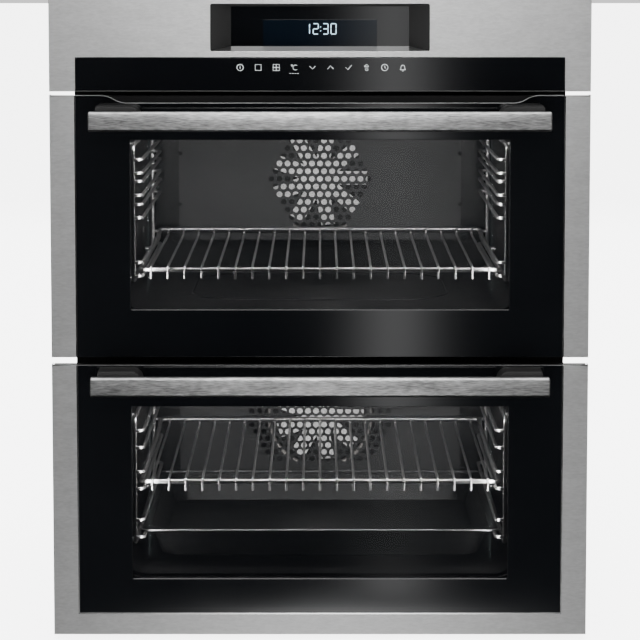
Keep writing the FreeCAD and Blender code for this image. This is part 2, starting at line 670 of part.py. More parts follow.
def door_liner(oven):
    """The inner frame that holds the middle glass in a rebate and carries the inner glass."""
    z0 = oven.bottom + HINGE_UP + LINER_UP
    z1 = oven.top - LINER_DOWN
    ring = wide_block(CAVITY_HALF + LINER_OUT, DOOR_FRAME_BACK, DOOR_BACK - GLASS, z0, z1)
    window = rounded_block(CAVITY_HALF - 5, DOOR_FRAME_BACK - 1, DOOR_BACK, z0 + 8, z1 - 14, 6)
    rebate = wide_block(CAVITY_HALF + REBATE_OUT, DOOR_FRAME_BACK - 1,
                        DOOR_FRAME_BACK + GLASS + MIDDLE_GLASS_CLEARANCE, z0 + REBATE_UP, z1 - REBATE_DOWN)
    return cut(ring, [window, rebate])


def middle_glass(oven):
    edge = MIDDLE_GLASS_EDGE_CLEARANCE
    front = DOOR_FRAME_BACK + MIDDLE_GLASS_CLEARANCE
    return wide_block(CAVITY_HALF + REBATE_OUT - edge, front, front + GLASS,
                      oven.bottom + HINGE_UP + LINER_UP + REBATE_UP + edge,
                      oven.top - LINER_DOWN - REBATE_DOWN - edge)


def inner_glass(oven):
    return wide_block(CAVITY_HALF + LINER_OUT, DOOR_BACK - GLASS, DOOR_BACK,
                      oven.bottom + HINGE_UP + LINER_UP, oven.top - LINER_DOWN)


def outer_glass(oven):
    """The front glass. The upper one dips along its top edge in two tangent arcs at each end."""
    back = GLASS_SETBACK + GLASS
    z0 = oven.bottom + (0.4 if oven.dip else BOTTOM_STRIP + TRIM_CLEARANCE)
    if not oven.dip:
        return wide_block(GLASS_HALF, GLASS_SETBACK, back, z0, oven.top)
    start = FRONT_HALF - TRIM_WIDTH - DIP_END_IN
    radius = (DIP_RUN ** 2 + GLASS_DIP ** 2) / (4 * GLASS_DIP)
    turn = math.asin(DIP_RUN / 2 / radius) / 2
    along = radius * math.sin(turn)
    down = radius * (1 - math.cos(turn))
    top = oven.top
    low = top - GLASS_DIP
    end = start - DIP_RUN
    half = [(GLASS_HALF, z0), (GLASS_HALF, top), (start, top), (start - along, top - down),
            (start - DIP_RUN / 2, top - GLASS_DIP / 2), (end + along, low + down), (end, low)]
    right = [at(x, GLASS_SETBACK, z) for x, z in half]
    left = [at(-x, GLASS_SETBACK, z) for x, z in half]
    edges = [Part.makeLine(left[0], right[0]), Part.makeLine(right[6], left[6])]
    for side in (right, left):
        edges += [Part.makeLine(side[0], side[1]), Part.makeLine(side[1], side[2]),
                  Part.Arc(side[2], side[3], side[4]).toShape(),
                  Part.Arc(side[4], side[5], side[6]).toShape()]
    outline = Part.Wire(Part.__sortEdges__(edges))
    return Part.Face(outline).extrude(V(0, GLASS, 0))


def side_trim(oven):
    """The right-hand steel strip: a face, a return down the door's side and a lip by the glass."""
    inner = FRONT_HALF - TRIM_WIDTH
    face = block(inner, FRONT_HALF, 0, TRIM_SHEET, oven.bottom, oven.top)
    side = block(FRONT_HALF - TRIM_SHEET, FRONT_HALF, TRIM_SHEET, DOOR_FRAME_BACK, oven.bottom, oven.top)
    lip = block(inner, inner + TRIM_SHEET, TRIM_SHEET, FRAME_FRONT, oven.bottom, oven.top)
    return fuse([face, side, lip])


def lower_trim():
    """The lower door's U: two side strips joined along the bottom."""
    strip = wide_block(FRONT_HALF - TRIM_WIDTH, 0, TRIM_SHEET, LOWER.bottom, LOWER.bottom + BOTTOM_STRIP)
    lip = wide_block(FRONT_HALF - TRIM_WIDTH, TRIM_SHEET, FRAME_FRONT,
                     LOWER.bottom + BOTTOM_STRIP - TRIM_SHEET, LOWER.bottom + BOTTOM_STRIP)
    return fuse(both_sides(side_trim(LOWER)) + [strip, lip])


def handle_bar(oven):
    """A flat bar with bevelled long front edges."""
    top = oven.handle_top
    low = top - HANDLE_HEIGHT
    front = -HANDLE_REACH
    back = front + HANDLE_THICKNESS
    outline = [(front + HANDLE_BEVEL, top), (back, top), (back, low), (front + HANDLE_BEVEL, low),
               (front, low + HANDLE_BEVEL), (front, top - HANDLE_BEVEL)]
    points = [at(-HANDLE_HALF, depth, z) for depth, z in outline]
    face = Part.Face(Part.makePolygon(points + [points[0]]))
    return face.extrude(V(2 * HANDLE_HALF, 0, 0))


def handle_bracket(oven):
    """The right-hand bracket: its outer edge leans in and its inner upper corner is round."""
    top = oven.handle_top + BRACKET_RISE
    low = oven.handle_top - HANDLE_HEIGHT + 3
    outer = HANDLE_HALF - 3
    inner = outer - BRACKET_LENGTH
    depth = HANDLE_THICKNESS - HANDLE_REACH
    turn = 12.0
    k = turn * (1 - math.sqrt(0.5))
    points = [at(x, depth, z) for x, z in (
        (inner, low), (outer, low), (outer - 5, top), (inner + turn, top), (inner + k, top - k),
        (inner, top - turn))]
    edges = [Part.makeLine(points[0], points[1]), Part.makeLine(points[1], points[2]),
             Part.makeLine(points[2], points[3]), Part.Arc(points[3], points[4], points[5]).toShape(),
             Part.makeLine(points[5], points[0])]
    return Part.Face(Part.Wire(edges)).extrude(V(0, GLASS_SETBACK - depth, 0))


# Fascia and electronics

def fascia():
    """The formed steel front with its touch strip opening, display opening and rear flanges."""
    inner = FRONT_HALF - TRIM_WIDTH
    skin = wide_block(FRONT_HALF, 0, FASCIA_SHEET, FASCIA_BOTTOM, TOTAL_HEIGHT)
    top = wide_block(FRONT_HALF, FASCIA_SHEET, HOUSING_FRONT, TOTAL_HEIGHT - FASCIA_SHEET, TOTAL_HEIGHT)
    sides = both_sides(block(FRONT_HALF - FASCIA_SHEET, FRONT_HALF, FASCIA_SHEET, HOUSING_FRONT,
                             FASCIA_BOTTOM, TOTAL_HEIGHT))
    flanges = both_sides(block(HOUSING_HALF - 14, FRONT_HALF, HOUSING_FRONT - FASCIA_SHEET, HOUSING_FRONT,
                               FASCIA_BOTTOM + 6, TOTAL_HEIGHT))
    touch = wide_block(inner, -1, FASCIA_SHEET + 1, FASCIA_BOTTOM - 1, FASCIA_BOTTOM + TOUCH_STRIP_HEIGHT)
    display = wide_block(DISPLAY_HALF, -1, FASCIA_SHEET + 1, FASCIA_BOTTOM + DISPLAY_BOTTOM_UP,
                         FASCIA_BOTTOM + DISPLAY_BOTTOM_UP + DISPLAY_HEIGHT)
    return cut(fuse([skin, top] + sides + flanges), [touch, display])


def touch_glass():
    return wide_block(GLASS_HALF, GLASS_SETBACK, GLASS_SETBACK + GLASS, FASCIA_BOTTOM,
                      FASCIA_BOTTOM + TOUCH_STRIP_HEIGHT - TRIM_CLEARANCE)


def display_bezel():
    """A frame behind the fascia whose walls slope in to the display glass."""
    low = FASCIA_BOTTOM + DISPLAY_BOTTOM_UP
    high = low + DISPLAY_HEIGHT
    back = FASCIA_SHEET + DISPLAY_RECESS
    body = wide_block(DISPLAY_HALF + DISPLAY_LAP, FASCIA_SHEET, back, low - DISPLAY_LAP, high + DISPLAY_LAP)
    mouth = [(-DISPLAY_HALF, low), (DISPLAY_HALF, low), (DISPLAY_HALF, high), (-DISPLAY_HALF, high)]
    half = DISPLAY_HALF - DISPLAY_SLOPE_SIDE
    z0 = low + DISPLAY_SLOPE_BOTTOM
    z1 = high - DISPLAY_SLOPE_TOP
    throat = [(-half, z0), (half, z0), (half, z1), (-half, z1)]
    wires = []
    for corners, depth in ((mouth, FASCIA_SHEET), (throat, back)):
        points = [at(x, depth, z) for x, z in corners]
        wires.append(Part.makePolygon(points + [points[0]]))
    return cut(body, [Part.makeLoft(wires, True, True)])


def display_glass():
    back = FASCIA_SHEET + DISPLAY_RECESS
    low = FASCIA_BOTTOM + DISPLAY_BOTTOM_UP
    return wide_block(DISPLAY_HALF + DISPLAY_LAP, back, back + DISPLAY_GLASS, low - DISPLAY_LAP,
                      low + DISPLAY_HEIGHT + DISPLAY_LAP)


def display_module():
    """The display board behind its glass and the touch sensor board behind the touch strip."""
    back = FASCIA_SHEET + DISPLAY_RECESS + DISPLAY_GLASS
    low = FASCIA_BOTTOM + DISPLAY_BOTTOM_UP
    panel = wide_block(60, back, back + 4, low + 6, low + DISPLAY_HEIGHT - 12)
    board = wide_block(DISPLAY_HALF, back + 4, back + 5.6, low, low + DISPLAY_HEIGHT)
    chips = [block(x, x + 14, back + 5.6, back + 8, low + 14, low + 28) for x in (-90, -50, 20, 70)]
    sensor_front = GLASS_SETBACK + GLASS
    sensor = wide_block(GLASS_HALF - 14, sensor_front, sensor_front + 1.6, FASCIA_BOTTOM + 7,
                        FASCIA_BOTTOM + TOUCH_STRIP_HEIGHT - 5)
    return [fuse([panel, board] + chips), sensor]


def control_board():
    """The power board on four stand-offs, with its transformer, relays and capacitors."""
    z = DECK_Z + SHEET
    x0 = 40 - HOUSING_HALF
    board = block(x0, x0 + 120, 110, 260, z + 8, z + 9.6)
    pieces = [board]
    for x in (x0 + 8, x0 + 112):
        for depth in (118, 252):
            pieces.append(Part.makeCylinder(3, 8, at(x, depth, z)))
    pieces.append(block(x0 + 12, x0 + 52, 130, 175, z + 9.6, z + 42))
    for index in range(4):
        pieces.append(block(x0 + 66, x0 + 82, 128 + index * 30, 148 + index * 30, z + 9.6, z + 28))
        pieces.append(Part.makeCylinder(6, 20, at(x0 + 100, 136 + index * 30, z + 9.6)))
    return fuse(pieces)


def blower_housing():
    """A box round the rotor with an intake in its top and a flat duct that runs to the front."""
    z = DECK_Z + SHEET
    wall = SHEET
    front = BLOWER_DEPTH - BLOWER_HALF_DEPTH
    back = BLOWER_DEPTH + BLOWER_HALF_DEPTH
    duct = wide_block(BLOWER_HALF, FRAME_BACK + 20, front, z, z + DUCT_HEIGHT)
    body = wide_block(BLOWER_HALF, front, back, z, z + BLOWER_HEIGHT)
    duct_space = wide_block(BLOWER_HALF - wall, FRAME_BACK + 19, BLOWER_DEPTH, z + wall,
                            z + DUCT_HEIGHT - wall)
    body_space = wide_block(BLOWER_HALF - wall, front + wall, back - wall, z + wall,
                            z + BLOWER_HEIGHT - wall)
    intake = wide_block(BLOWER_HALF - 12, BLOWER_DEPTH - 20, BLOWER_DEPTH + 20, z + BLOWER_HEIGHT - 2,
                        z + BLOWER_HEIGHT + 1)
    shaft_hole = axle(BLOWER_DEPTH, BLOWER_Z, SHAFT_RADIUS + 1, BLOWER_HALF - 3, BLOWER_HALF + 1)
    return cut(fuse([duct, body]), [duct_space, body_space, intake, shaft_hole])


def blower_rotor():
    """A long cage: end discs, straight blades along the axis, and the shaft into the motor."""
    half = BLOWER_HALF - 6
    discs = [axle(BLOWER_DEPTH, BLOWER_Z, BLOWER_ROTOR_RADIUS, x, x + 2) for x in (-half, -1, half - 2)]
    shaft = axle(BLOWER_DEPTH, BLOWER_Z, SHAFT_RADIUS, -half, BLOWER_HALF + 30)
    blades = []
    for index in range(BLOWER_BLADES):
        blade = wide_block(half, BLOWER_DEPTH - 0.6, BLOWER_DEPTH + 0.6,
                           BLOWER_Z + BLOWER_ROTOR_RADIUS - 8, BLOWER_Z + BLOWER_ROTOR_RADIUS - 0.8)
        blade.rotate(at(0, BLOWER_DEPTH, BLOWER_Z), V(1, 0, 0), index * 360 / BLOWER_BLADES)
        blades.append(blade)
    return fuse(discs + [shaft] + blades)


def blower_motor():
    z = DECK_Z + SHEET
    stator = block(BLOWER_HALF, BLOWER_HALF + 40, BLOWER_DEPTH - 30, BLOWER_DEPTH + 30, z, BLOWER_Z + 28)
    coil = block(BLOWER_HALF + 8, BLOWER_HALF + 32, BLOWER_DEPTH + 30, BLOWER_DEPTH + 44, z + 8, z + 44)
    bore = axle(BLOWER_DEPTH, BLOWER_Z, SHAFT_RADIUS + SHAFT_CLEARANCE, BLOWER_HALF - 1, BLOWER_HALF + 32)
    return cut(fuse([stator, coil]), [bore])


def terminal_block():
    """The supply terminals inside the rear panel, with the cable gland through it."""
    front = REAR_PANEL - TERMINAL_DEPTH
    body = block(GLAND_X - 25, GLAND_X + 25, front, REAR_PANEL, GLAND_Z - 18, GLAND_Z + 18)
    gland = post(GLAND_X, GLAND_Z, GLAND_RADIUS, REAR_PANEL - 1, DEPTH_BEHIND_FRONT)
    bore = post(GLAND_X, GLAND_Z, GLAND_BORE, front - 1, DEPTH_BEHIND_FRONT + 1)
    return cut(fuse([body, gland]), [bore])


def housing_screws():
    """Round-headed screws round the edge of the rear panel."""
    back = REAR_PANEL + SHEET
    places = [(x, z) for x in (12 - HOUSING_HALF, HOUSING_HALF - 12)
              for z in (40, HOUSING_TOP / 3, HOUSING_TOP * 2 / 3, HOUSING_TOP - 40)]
    return [post(x, z, 3.6, back, back + 2.4) for x, z in places]


save("base_plate", base_plate())
save("side_panel_right", side_panel())
save("side_panel_left", mirrored(side_panel()))
save("rear_panel", rear_panel())
save("top_panel", top_panel())
save("front_frame", front_frame())
save("middle_crosspiece", middle_crosspiece())
save("upper_deck", upper_deck())
save("insulation", insulation(UPPER), insulation(LOWER))
for place in (UPPER, LOWER):
    name = place.name
    save(name + "_cavity", cavity(place))
    save(name + "_fan_cover", fan_cover(place))
    save(name + "_fan_wheel", fan_wheel(place))
    save(name + "_fan_motor", fan_motor(place))
    save(name + "_ring_element", ring_element(place))
    save(name + "_lamp", lamp(place))
    save(name + "_side_racks", *both_sides(side_rack(place)))
    save(name + "_door_seal", door_seal(place))
    save(name + "_hinge_arms", *both_sides(hinge_arm(place)))
    save(name + "_hinge_bodies", *both_sides(hinge_body(place)))
    save(name + "_door_frame", door_frame(place))
    save(name + "_door_liner", door_liner(place))
    save(name + "_middle_glass", middle_glass(place))
    save(name + "_inner_glass", inner_glass(place))
    save(name + "_outer_glass", outer_glass(place))
    save(name + "_handle", handle_bar(place))
    save(name + "_handle_brackets", *both_sides(handle_bracket(place)))
save("upper_door_trims", *both_sides(side_trim(UPPER)))
save("lower_door_trim", lower_trim())
save("grill_element", grill_element())
save("upper_shelf", wire_shelf(UPPER.rungs[0]))
save("lower_shelf", wire_shelf(LOWER.rungs[1]))
save("baking_tray", baking_tray())
save("fascia", fascia())
save("touch_glass", touch_glass())
save("display_bezel", display_bezel())
save("display_glass", display_glass())
save("display_module", *display_module())
save("control_board", control_board())
save("blower_housing", blower_housing())
save("blower_rotor", blower_rotor())
save("blower_motor", blower_motor())
save("terminal_block", terminal_block())
save("housing_screws", *housing_screws())
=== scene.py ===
import json
import math

import bpy
import numpy as np
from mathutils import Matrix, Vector


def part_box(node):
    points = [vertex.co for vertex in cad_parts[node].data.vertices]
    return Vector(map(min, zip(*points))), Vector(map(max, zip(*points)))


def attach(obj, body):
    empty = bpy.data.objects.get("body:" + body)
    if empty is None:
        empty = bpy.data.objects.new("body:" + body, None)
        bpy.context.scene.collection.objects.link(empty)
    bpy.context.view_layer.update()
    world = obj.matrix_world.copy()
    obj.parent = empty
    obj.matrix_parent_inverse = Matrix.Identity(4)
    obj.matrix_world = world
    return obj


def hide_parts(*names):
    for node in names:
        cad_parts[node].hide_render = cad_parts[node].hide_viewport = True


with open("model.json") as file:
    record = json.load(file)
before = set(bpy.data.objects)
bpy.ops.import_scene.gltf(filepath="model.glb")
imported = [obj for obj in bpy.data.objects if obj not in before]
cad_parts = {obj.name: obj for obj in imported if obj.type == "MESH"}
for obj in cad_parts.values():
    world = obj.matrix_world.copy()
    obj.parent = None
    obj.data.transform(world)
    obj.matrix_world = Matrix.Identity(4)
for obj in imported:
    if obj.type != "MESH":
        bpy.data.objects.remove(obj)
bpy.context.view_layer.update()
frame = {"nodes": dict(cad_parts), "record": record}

MM = 0.001
ROOT = "housing"
# Width of the painted highlight on the steels: a bell in x, lightest at the middle.
PAINTED_HIGHLIGHT_WIDTH = 4.2
FRONT_SHEET = 1.2 * MM
TRIM_SHEET = 1.5 * MM
GLASS = 4 * MM
DISPLAY_GLASS = 2 * MM
SHEET_EDGE = 0.4 * MM
GLASS_ROUND = 0.5 * MM
LINE_WIDTH = 0.9 * MM
LINE_OUT = 0.05 * MM
# Width and offset of the painted highlights along the trims' rounded edges.
EDGE_HIGHLIGHT_WIDTH = 1.3 * MM
EDGE_HIGHLIGHT_OUT = 0.06 * MM
GAP = 0.4 * MM
CLOCK_SIDE_SLOPE = 22 * MM
CLOCK_LOW_SLOPE = 4.8 * MM
CLOCK_TOP_SLOPE = 3.2 * MM
CLOCK_CORNER = 2 * MM
CLOCK_FIGURE_UP = 23.9 * MM
SYMBOL_PITCH = 19.8 * MM
SYMBOL_UP = 26.3 * MM
SYMBOL_LINE = 0.38 * MM
STRIP_CORNER = 3 * MM
DIP_RUN = 29.3 * MM
DIP_DROP = 8.3 * MM
DIP_END_IN = 27.3 * MM
HANDLE_BEVEL = 2.2 * MM


# Shader maths

class Sock:
    """One output of a shader node. Arithmetic on it adds Math nodes to the same material."""

    def __init__(self, finish, socket):
        self.finish = finish
        self.socket = socket

    def _math(self, operation, left, right):
        return self.finish.node("ShaderNodeMath", {"operation": operation}, {0: left, 1: right})

    def __add__(self, other):
        return self._math("ADD", self, other)

    def __radd__(self, other):
        return self._math("ADD", other, self)

    def __sub__(self, other):
        return self._math("SUBTRACT", self, other)

    def __mul__(self, other):
        return self._math("MULTIPLY", self, other)

    def __rmul__(self, other):
        return self._math("MULTIPLY", other, self)

    def __lt__(self, other):
        return self._math("LESS_THAN", self, other)


class Finish:
    """One material being made. node() adds a node of any type and gives back its output."""

    def __init__(self, name, colour, rough, **fixed):
        self.material = bpy.data.materials.new(name)
        self.material.use_nodes = True
        self.tree = self.material.node_tree
        self.surface = self.tree.nodes["Principled BSDF"]
        self.shade(**{"Base Color": (*colour, 1), "Roughness": rough}, **fixed)

    def put(self, socket, value):
        if isinstance(value, Sock):
            self.tree.links.new(value.socket, socket)
        else:
            socket.default_value = value

    def node(self, kind, settings=None, inputs=None, output=0):
        node = self.tree.nodes.new(kind)
        for key, value in (settings or {}).items():
            setattr(node, key, value)
        for key, value in (inputs or {}).items():
            self.put(node.inputs[key], value)
        return Sock(self, node.outputs[output])

    def shade(self, **sockets):
        for key, value in sockets.items():
            self.put(self.surface.inputs[key.replace("_", " ")], value)
        return self

    def place(self, scale=(1, 1, 1), turn=(0, 0, 0)):
        """Object coordinates, stretched and turned."""
        spot = self.node("ShaderNodeTexCoord", output=3)
        return self.node("ShaderNodeMapping", {}, {"Vector": spot, "Scale": scale, "Rotation": turn})

    def noise(self, scale, detail=3.0, size=1.0):
        return self.node("ShaderNodeTexNoise", {}, {"Vector": self.place(scale), "Scale": size,
                                                   "Detail": detail})

    def cells(self, scale, output=0):
        return self.node("ShaderNodeTexVoronoi", {}, {"Vector": self.place((scale,) * 3), "Scale": 1.0},
                         output)

    def blend(self, factor, low, high):
        mix = self.tree.nodes.new("ShaderNodeMix")
        mix.data_type = "RGBA"
        self.put(mix.inputs[0], factor)
        self.put(mix.inputs[6], (*low, 1) if isinstance(low, tuple) else low)
        self.put(mix.inputs[7], (*high, 1) if isinstance(high, tuple) else high)
        return Sock(self, mix.outputs[2])

    def bump(self, height, strength, distance):
        self.shade(Normal=self.node("ShaderNodeBump", {}, {"Height": height, "Strength": strength,
                                                          "Distance": distance}))
        return self


def grey(level, warm=0.0):
    return (level * (1 + warm), level, level * (1 - warm))


def brushed_steel(name, level, rough, grain, strength, along, across):
    """Brushed steel: noise stretched along X, in fine and broad streaks.

    along and across are the number of streaks in a metre, lengthways and upwards. A painted highlight
    makes the colour brightest in the middle in x and darker towards the sides as a bell curve.
    """
    steel = Finish(name, grey(level), rough, Metallic=1.0)
    fine = steel.noise((along, across, across), 4)
    broad = steel.noise((along / 4, across / 5, across / 5), 3)
    lines = fine * 0.65 + broad * 0.35
    streak = (lines - 0.35) * 3.3
    # Painted highlight: the base colour is lighter at the middle in x and darker towards the sides.
    spot = steel.node("ShaderNodeSeparateXYZ", {}, {"Vector": steel.place((PAINTED_HIGHLIGHT_WIDTH, 1, 1))})
    painted_highlight_bell = steel.node("ShaderNodeMath", {"operation": "EXPONENT"}, {0: spot * spot * -1.0})
    side, centre = level * 0.62, level * 1.1
    painted_shade_sides = steel.blend(streak, grey(side * (1 - grain)), grey(side * (1 + grain)))
    painted_highlight = steel.blend(streak, grey(centre * (1 - grain)), grey(centre * (1 + grain)))
    steel.shade(**{"Base Color": steel.blend(painted_highlight_bell, painted_shade_sides, painted_highlight), "Roughness": rough - 0.08 + lines * 0.16})
    return steel.bump(lines, strength, 0.0003).material


def enamel(name, level, rough, speck, gloss=0.5):
    """Dark fired enamel with pale specks: the middles of small random cells."""
    coat = Finish(name, grey(level), rough, **{"Specular IOR Level": gloss})
    cloud = coat.noise((14, 14, 14), 3)
    dots = coat.cells(620) < 0.2
    base = coat.blend(cloud, grey(level * 0.75), grey(level * 1.3))
    coat.shade(**{"Base Color": coat.blend(dots * cloud * speck, base, grey(0.45)),
                  "Roughness": rough - 0.05 + cloud * 0.12})
    return coat.bump(coat.noise((120, 120, 120), 2), 0.03, 0.0003).material


def zinc_sheet():
    """Galvanised sheet: patches of slightly different brightness, as the zinc's crystals have."""
    zinc = Finish("zinc sheet", grey(0.25), 0.42, Metallic=0.25)
    patch = zinc.node("ShaderNodeSeparateColor", {}, {"Color": zinc.cells(120, 1)})
    cloud = zinc.noise((6, 6, 6), 4)
    zinc.shade(**{"Base Color": zinc.blend(patch * 0.5 + cloud * 0.5, grey(0.19, -0.01), grey(0.29, -0.01)),
                  "Roughness": 0.38 + patch * 0.06})
    return zinc.bump(cloud, 0.1, 0.0006).material


def polished(name, level, rough, warm=0.0, metallic=1.0):
    """Plated or cast metal with faint cloudy wear."""
    metal = Finish(name, grey(level, warm), rough, Metallic=metallic)
    cloud = metal.noise((40, 40, 40), 4)
    metal.shade(**{"Base Color": metal.blend(cloud, grey(level * 0.86, warm), grey(level * 1.08, warm)),
                   "Roughness": rough - 0.04 + cloud * 0.1})
    return metal.material


def moulded(name, level, rough, grain=900, tint=None, gloss=0.5):
    """Moulded or painted stuff with a fine grain and a faint change of tone."""
    low = tint or grey(level)
    stuff = Finish(name, low, rough, **{"Specular IOR Level": gloss})
    cloud = stuff.noise((30, 30, 30), 3)
    dark, light = (tuple(share * c for c in low) for share in (0.85, 1.2))
    stuff.shade(**{"Base Color": stuff.blend(cloud, dark, light), "Roughness": rough - 0.05 + cloud * 0.1})
    return stuff.bump(stuff.noise((grain, grain, grain), 2), 0.12, 0.0002).material


def black_print():
    """Black printed glass: a smooth gloss with the faintest cloud in its roughness."""
    print_ = Finish("black print", (0.0012, 0.0013, 0.0016), 0.06, **{"IOR": 1.5})
    cloud = print_.noise((9, 9, 9), 2)
    print_.shade(**{"Base Color": print_.blend(cloud, (0.0009, 0.001, 0.0013), (0.0015, 0.0017, 0.002)),
                    "Roughness": 0.05 + cloud * 0.03})
    return print_.material


def pane(name, tint, alpha, gloss, rough=0.02):
    """See-through glass: mostly clear, with its gloss from the surface shader."""
    glass = Finish(name, tint, rough, Alpha=alpha, **{"Specular IOR Level": gloss})
    haze = glass.noise((12, 12, 12), 2)
    glass.shade(**{"Roughness": rough + haze * 0.02})
    return glass.material


def glowing(name, tone, strength):
    """A lit segment or symbol, a little brighter in its middle parts."""
    lamp = Finish(name, tone, 0.4, **{"Emission Strength": strength})
    cloud = lamp.noise((300, 300, 300), 1)
    low = tuple(0.85 * c for c in tone)
    lamp.shade(**{"Emission Color": lamp.blend(cloud, low, tone)})
    return lamp.material


# Both steels carry the painted highlight: lighter at the middle in x, darker at the sides.
STEEL = brushed_steel("brushed steel", 0.7, 0.42, 0.1, 0.12, 170, 620)
HANDLE_STEEL = brushed_steel("handle steel", 0.5, 0.4, 0.5, 0.4, 110, 760)
LEDGE = polished("polished ledge", 0.75, 0.3)
# Pale ribbons that paint the highlight on the trims' rounded edges.
PAINTED_EDGE_HIGHLIGHT = polished("painted edge highlight", 0.8, 0.14)
ENAMEL = enamel("cavity enamel", 0.009, 0.32, 0.2, 0.35)
COVER = moulded("fan cover enamel", 0.075, 0.55, 60)
TRAY = enamel("tray enamel", 0.009, 0.34, 0.5, 0.3)
# Painted highlight: pale grey for the dark enamel rim where it catches light.
TRAY_RIM_HIGHLIGHT = polished("painted rim highlight", 0.45, 0.38)
CHROME = polished("chrome wire", 0.88, 0.3, 0.012)
ZINC = zinc_sheet()
ALUMINIUM = polished("sheet aluminium", 0.8, 0.4)
BLADES = polished("fan blade sheet", 0.92, 0.42, 0.01, 0.35)
ELEMENT = polished("element sheath", 0.25, 0.4, 0.05)
PLASTIC = moulded("dark plastic", 0.02, 0.4)
BRACKET = moulded("bracket paint", 0.012, 0.5, gloss=0.15)
BLACK = moulded("black paint", 0.004, 0.6, gloss=0.06)
SEAL = moulded("seal rope", 0.03, 0.8, 700)
BLANKET = moulded("fibre blanket", 0.5, 0.9, 300, (0.6, 0.55, 0.4))
BOARD = moulded("circuit board", 0.1, 0.5, 500, (0.03, 0.14, 0.06))
MOTOR = moulded("motor laminations", 0.2, 0.5, 1200)
PRINT = black_print()
WINDOW = pane("tinted window", (0.002, 0.002, 0.0025), 0.3, 0.16)
CLEAR = pane("clear pane", (0.02, 0.025, 0.025), 0.05, 0.3)
LAMP_GLASS = pane("lamp glass", (0.8, 0.8, 0.75), 0.5, 0.5, 0.1)
BEZEL = moulded("bezel metal", 0.008, 0.5, gloss=0.25)
DISPLAY_WINDOW = pane("display window", (0.001, 0.002, 0.0036), 1.0, 0.3, 0.06)
DIGIT = glowing("clock light", (0.4, 0.6, 0.74), 0.75)
GLASS_EDGE = polished("ground glass edge", 0.3, 0.4)
STRIP_EDGE = polished("strip edge", 0.1, 0.4)
SYMBOL = glowing("touch symbols", (0.5, 0.53, 0.54), 0.42)

NODE_FINISHES = {
    "zinc_sheet": ZINC, "brushed_steel": STEEL, "dark_enamel": ENAMEL, "black_paint": BLACK,
    "chrome_wire": CHROME, "black_glass": PRINT, "clear_glass": CLEAR, "seal": SEAL,
    "blanket": BLANKET, "black_plastic": PLASTIC, "board": BOARD, "motor": MOTOR,
    "aluminium": ALUMINIUM, "element": ELEMENT,
}
SPECIAL_FINISHES = {
    "upper_fan_cover": COVER, "lower_fan_cover": COVER, "baking_tray": TRAY,
    "upper_handle_brackets": BRACKET, "lower_handle_brackets": BRACKET,
    "upper_lamp": LAMP_GLASS, "lower_lamp": LAMP_GLASS, "display_bezel": BEZEL,
    "upper_door_frame": BLACK, "lower_door_frame": BLACK,
    "upper_fan_wheel": BLADES, "lower_fan_wheel": BLADES,
}


def finish_nodes():
    """Give every CAD node its own finish, from its slot in the record."""
    for part in frame["record"]["subparts"]:
        shape = frame["nodes"][part["node"]]
        finish = SPECIAL_FINISHES.get(part["node"], NODE_FINISHES[part["material_slot"]])
        shape.data.materials.clear()
        shape.data.materials.append(finish)


finish_nodes()


# Places read from the frame

FASCIA_LOW, FASCIA_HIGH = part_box("fascia")
FRONT_Y = FASCIA_LOW.y
FRONT_HALF = FASCIA_HIGH.x
TOP_Z = FASCIA_HIGH.z
TOUCH_LOW, TOUCH_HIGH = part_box("touch_glass")
TRIM_INNER = FRONT_HALF - 28.6 * MM
WINDOW_HALF = 209 * MM
DISPLAY_LAP = 2.5 * MM


# Surfaces

def link(name, mesh, material, smooth):
    mesh.validate()
    if smooth:
        mesh.shade_smooth()
    else:
        mesh.shade_flat()
    piece = bpy.data.objects.new(name, mesh)
    bpy.context.scene.collection.objects.link(piece)
    if material:
        mesh.materials.append(material)
    return piece


def quads_of(rows, columns, close_u=False, close_v=False):
    index = np.arange(rows * columns).reshape(rows, columns)
    if close_u:
        index = np.vstack([index, index[:1]])
    if close_v:
        index = np.hstack([index, index[:, :1]])
    return np.stack([index[:-1, :-1], index[1:, :-1], index[1:, 1:], index[:-1, 1:]], 2).reshape(-1, 4)


def grid_piece(name, points, material=None, smooth=False, close_u=False, close_v=False):
    """A surface from a grid of points: each cell is one quad."""
    quads = quads_of(*points.shape[:2], close_u, close_v)
    mesh = bpy.data.meshes.new(name)
    mesh.from_pydata(points.reshape(-1, 3).tolist(), [], quads.tolist())
    return link(name, mesh, material, smooth)


def joined(name, grids, material, smooth=True):
    """Several grids of points made into one mesh. Each is (points, close_u, close_v)."""
    vertices, faces, start = [], [], 0
    for points, close_u, close_v in grids:
        faces.append(quads_of(*points.shape[:2], close_u, close_v) + start)
        vertices.append(points.reshape(-1, 3))
        start += points.shape[0] * points.shape[1]
    mesh = bpy.data.meshes.new(name)
    mesh.from_pydata(np.vstack(vertices).tolist(), [], np.vstack(faces).tolist())
    return link(name, mesh, material, smooth)


def round_rect(half_x, z0, z1, corner, steps=8, centre_x=0.0):
    """A closed outline in x and z: quarter circles at the corners, anticlockwise from lower right."""
    turn = np.linspace(0, math.pi / 2, steps)
    points = []
    for quarter, (sx, z) in enumerate(((1, z0), (1, z1), (-1, z1), (-1, z0))):
        angle = turn + (quarter - 1) * math.pi / 2
        cz = z + corner if z == z0 else z - corner
        points.append(np.stack([centre_x + sx * (half_x - corner) + corner * np.cos(angle),
                                cz + corner * np.sin(angle)], 1))
    return np.vstack(points)


